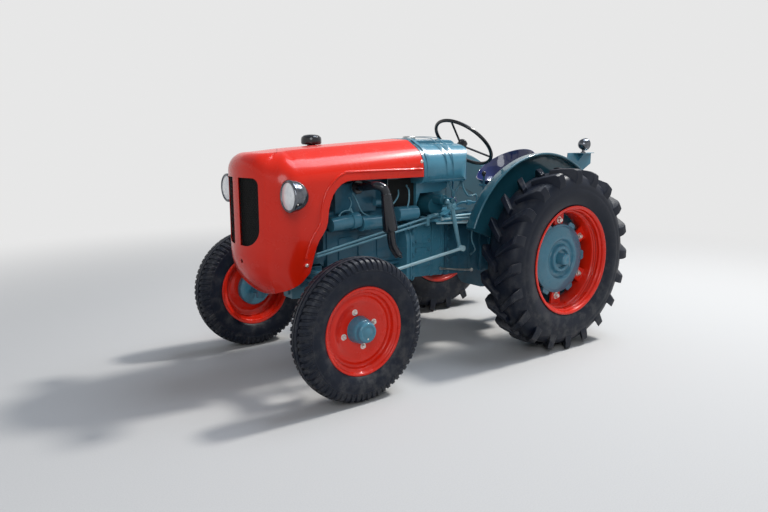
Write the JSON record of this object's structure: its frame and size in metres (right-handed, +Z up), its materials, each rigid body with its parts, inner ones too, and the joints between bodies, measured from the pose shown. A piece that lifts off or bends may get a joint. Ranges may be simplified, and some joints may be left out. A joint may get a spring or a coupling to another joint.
{
  "type": "vintage agricultural tractor",
  "caption": "Small old farm tractor with a rounded red bonnet, blue castings, lugged rear tyres, narrow mudguards, steered front wheels and an open pan seat.",
  "frame": {"origin": "on the floor, under the middle of the overall box", "axes": "+X forward, +Y to the tractor's left, +Z up"},
  "size_m": [2.486, 1.428, 1.3959],
  "materials": {
    "red_paint": "gloss",
    "blue_paint": "gloss",
    "casting_paint": "painted, satin",
    "guard_paint": "gloss",
    "black_paint": "gloss",
    "exhaust_black": "matt, heat resistant",
    "dark_mesh": "matt",
    "black_plastic": "gloss",
    "bright_steel": "satin",
    "tyre_rubber": "matt"
  },
  "bodies": {
    "chassis": {"engine": "casting_paint", "clutch_housing": "casting_paint", "gearbox": "casting_paint", "rear_axle_housing": "casting_paint", "front_bolster": "casting_paint", "front_axle": "blue_paint", "radiator": "blue_paint", "bonnet": "red_paint", "grille": "dark_mesh", "headlamps": "black_paint", "fuel_tank": "blue_paint", "filler_cap": "bright_steel", "dash_panel": "blue_paint", "steering_box": "blue_paint", "exhaust": "exhaust_black", "air_cleaner": "black_paint", "engine_fittings": "blue_paint", "side_rods": "blue_paint", "mudguard_left": "guard_paint", "mudguard_right": "guard_paint", "lamp_bracket": "blue_paint", "work_lamp": "black_paint", "seat_pan": "black_paint", "seat_spring": "blue_paint", "footrests": "blue_paint", "pedals": "blue_paint", "gear_lever": "blue_paint", "hand_lever": "blue_paint", "drawbar": "blue_paint", "pto_shaft": "bright_steel"},
    "front_wheel_left": {"tyre_front_left": "tyre_rubber", "wheel_front_left": "red_paint", "hub_front_left": "blue_paint"},
    "front_wheel_right": {"tyre_front_right": "tyre_rubber", "wheel_front_right": "red_paint", "hub_front_right": "blue_paint"},
    "rear_wheel_left": {"tyre_rear_left": "tyre_rubber", "rim_rear_left": "red_paint", "centre_rear_left": "blue_paint"},
    "rear_wheel_right": {"tyre_rear_right": "tyre_rubber", "rim_rear_right": "red_paint", "centre_rear_right": "blue_paint"},
    "left_knuckle": {"knuckle_left": "blue_paint"},
    "right_knuckle": {"knuckle_right": "blue_paint"},
    "steering_wheel": {"steering_wheel": "black_plastic"},
    "tie_rod": {"tie_rod": "blue_paint"},
    "drag_link": {"drag_link": "bright_steel"},
    "drop_arm": {"drop_arm": "bright_steel"}
  },
  "joints": [
    {"name": "steer_left", "type": "hinge", "parent": "chassis", "child": "left_knuckle", "pos_m": [0.881, 0.46, 0.562], "axis": [0, 0, 1], "range_deg": [-30, 30]},
    {"name": "spin_front_left", "type": "hinge", "parent": "left_knuckle", "child": "front_wheel_left", "pos_m": [0.881, 0.586, 0.362], "axis": [0, 1, 0], "continuous": true},
    {"name": "spin_rear_left", "type": "hinge", "parent": "chassis", "child": "rear_wheel_left", "pos_m": [-0.605, 0.586, 0.55], "axis": [0, 1, 0], "continuous": true},
    {"name": "steer_right", "type": "hinge", "parent": "chassis", "child": "right_knuckle", "pos_m": [0.881, -0.46, 0.562], "axis": [0, 0, 1], "range_deg": [-30, 30]},
    {"name": "spin_front_right", "type": "hinge", "parent": "right_knuckle", "child": "front_wheel_right", "pos_m": [0.881, -0.586, 0.362], "axis": [0, 1, 0], "continuous": true},
    {"name": "spin_rear_right", "type": "hinge", "parent": "chassis", "child": "rear_wheel_right", "pos_m": [-0.605, -0.586, 0.55], "axis": [0, 1, 0], "continuous": true},
    {"name": "tie_rod_swing", "type": "hinge", "parent": "left_knuckle", "child": "tie_rod", "pos_m": [0.731, 0.46, 0.459], "axis": [0, 0, 1], "range_deg": [-30, 30]},
    {"name": "drag_link_swing", "type": "hinge", "parent": "left_knuckle", "child": "drag_link", "pos_m": [0.881, 0.31, 0.497], "axis": [0, 0, 1], "range_deg": [-30, 30]},
    {"name": "drop_arm_swing", "type": "hinge", "parent": "chassis", "child": "drop_arm", "pos_m": [0.067, 0.348, 0.926], "axis": [0, 1, 0], "range_deg": [-16, 16]},
    {"name": "steering_wheel_turn", "type": "hinge", "parent": "chassis", "child": "steering_wheel", "pos_m": [-0.352, 0, 1.248], "axis": [-0.6743, 0, 0.7385], "range_deg": [-420, 420]}
  ],
  "couplings": [
    {"joint": "steer_right", "follows": "steer_left", "ratio": 1},
    {"joint": "tie_rod_swing", "follows": "steer_left", "ratio": -1},
    {"joint": "drag_link_swing", "follows": "steer_left", "ratio": -1},
    {"joint": "drop_arm_swing", "follows": "steer_left", "ratio": -0.515},
    {"joint": "steering_wheel_turn", "follows": "steer_left", "ratio": 14}
  ]
}
